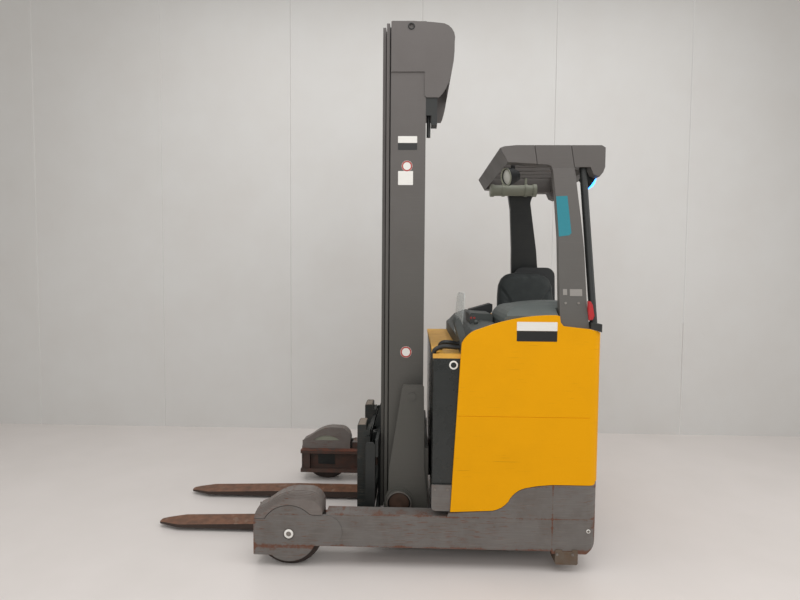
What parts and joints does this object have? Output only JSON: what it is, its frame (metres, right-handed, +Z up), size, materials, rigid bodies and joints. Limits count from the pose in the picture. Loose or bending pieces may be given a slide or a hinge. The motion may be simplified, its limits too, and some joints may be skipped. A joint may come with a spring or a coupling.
{
  "type": "reach truck",
  "caption": "Yellow and grey sit-on battery reach truck with wheel arms, a triplex mast that reaches forward, overhead guard, sideways seat and two forks, worn and rusted.",
  "frame": {"origin": "On the floor, under the middle of the whole truck's box with the forks down and the mast drawn in.", "axes": "+X forward to the fork tips, +Y to the truck's left, +Z up."},
  "size_m": [2.512, 1.27, 2.913],
  "materials": {
    "chassis_paint": "matte",
    "mast_paint": "satin",
    "yellow_paint": "satin",
    "black_paint": "satin",
    "fork_steel": "matte",
    "bare_steel": "satin",
    "wheel_polymer": "matte",
    "drive_tyre": "matte",
    "grey_plastic": "matte",
    "black_plastic": "matte",
    "seat_cloth": "matte",
    "clear_screen": "gloss",
    "battery_case": "matte",
    "deck_cover": "matte",
    "lamp_paint": "satin",
    "lead_rubber": "matte"
  },
  "bodies": {
    "chassis": {"arm_left": "chassis_paint", "arm_right": "chassis_paint", "rear_frame": "chassis_paint", "rest_pads": "chassis_paint", "wheel_cover_left": "chassis_paint", "wheel_cover_right": "chassis_paint", "load_axles": "bare_steel", "side_panel_left": "yellow_paint", "side_panel_right": "yellow_paint", "rear_panel": "yellow_paint", "footwell": "black_plastic", "pedals": "black_plastic", "seat_base": "grey_plastic", "seat_cushion": "seat_cloth", "seat_back": "seat_cloth", "seat_shell": "black_plastic", "dash_hood": "grey_plastic", "control_console": "grey_plastic", "display_screen": "clear_screen", "battery": "battery_case", "battery_tray": "chassis_paint", "battery_cover": "deck_cover", "battery_leads": "lead_rubber", "pillar_left": "mast_paint", "pillar_right": "black_paint", "guard_roof": "mast_paint", "grab_rail": "black_paint", "work_lamp": "black_paint", "tube_lamp": "lamp_paint", "rear_light": "black_plastic"},
    "left_wheel": {"load_wheel_left": "wheel_polymer"},
    "right_wheel": {"load_wheel_right": "wheel_polymer"},
    "steer": {"drive_unit": "black_paint"},
    "drive": {"drive_wheel": "drive_tyre"},
    "hand_wheel": {"steering_wheel": "black_plastic"},
    "reach": {"reach_carriage": "mast_paint", "reach_rollers": "bare_steel", "mast_shoes": "mast_paint", "outer_mast": "mast_paint", "mast_covers": "mast_paint", "hose_guide": "black_paint", "lift_cylinders": "black_paint"},
    "middle": {"middle_mast": "mast_paint", "lift_rods": "bare_steel"},
    "inner": {"inner_mast": "mast_paint", "free_lift_cylinder": "black_paint"},
    "head": {"chain_head": "bare_steel"},
    "lift": {"lift_frame": "black_paint", "carriage_sides": "black_paint", "carriage_rollers": "black_paint"},
    "tilt": {"tilt_frame": "black_paint"},
    "shift": {"side_shifter": "black_paint", "fork_left": "fork_steel", "fork_right": "fork_steel"}
  },
  "joints": [
    {"name": "load_wheel_left_spin", "type": "hinge", "parent": "chassis", "child": "left_wheel", "pos_m": [0.38, 0.571, 0.175], "axis": [0, 1, 0], "continuous": true},
    {"name": "load_wheel_right_spin", "type": "hinge", "parent": "chassis", "child": "right_wheel", "pos_m": [0.38, -0.571, 0.175], "axis": [0, 1, 0], "continuous": true},
    {"name": "drive_steer", "type": "hinge", "parent": "chassis", "child": "steer", "pos_m": [-1, -0.12, 0.4], "axis": [0, 0, 1], "range_deg": [-90, 90]},
    {"name": "drive_wheel_spin", "type": "hinge", "parent": "steer", "child": "drive", "pos_m": [-1, -0.12, 0.1715], "axis": [0, 1, 0], "continuous": true},
    {"name": "steering_wheel_turn", "type": "hinge", "parent": "chassis", "child": "hand_wheel", "pos_m": [-1.06, 0.062, 1.268], "axis": [0, 0, 1], "continuous": true},
    {"name": "mast_reach", "type": "slide", "parent": "chassis", "child": "reach", "axis": [1, 0, 0], "range_m": [0, 0.55]},
    {"name": "mast_lift", "type": "slide", "parent": "reach", "child": "middle", "axis": [0, 0, 1], "range_m": [0, 2.1]},
    {"name": "inner_lift", "type": "slide", "parent": "middle", "child": "inner", "axis": [0, 0, 1], "range_m": [0, 2.1]},
    {"name": "free_lift", "type": "slide", "parent": "inner", "child": "lift", "axis": [0, 0, 1], "range_m": [0, 2]},
    {"name": "chain_head_rise", "type": "slide", "parent": "inner", "child": "head", "axis": [0, 0, 1], "range_m": [0, 1]},
    {"name": "fork_tilt", "type": "hinge", "parent": "lift", "child": "tilt", "pos_m": [-0.028, 0, 0.56], "axis": [0, -1, 0], "range_deg": [-1, 3]},
    {"name": "side_shift", "type": "slide", "parent": "tilt", "child": "shift", "axis": [0, 1, 0], "range_m": [-0.075, 0.075]}
  ],
  "couplings": [
    {"joint": "inner_lift", "follows": "mast_lift", "ratio": 1},
    {"joint": "chain_head_rise", "follows": "free_lift", "ratio": 0.5}
  ]
}
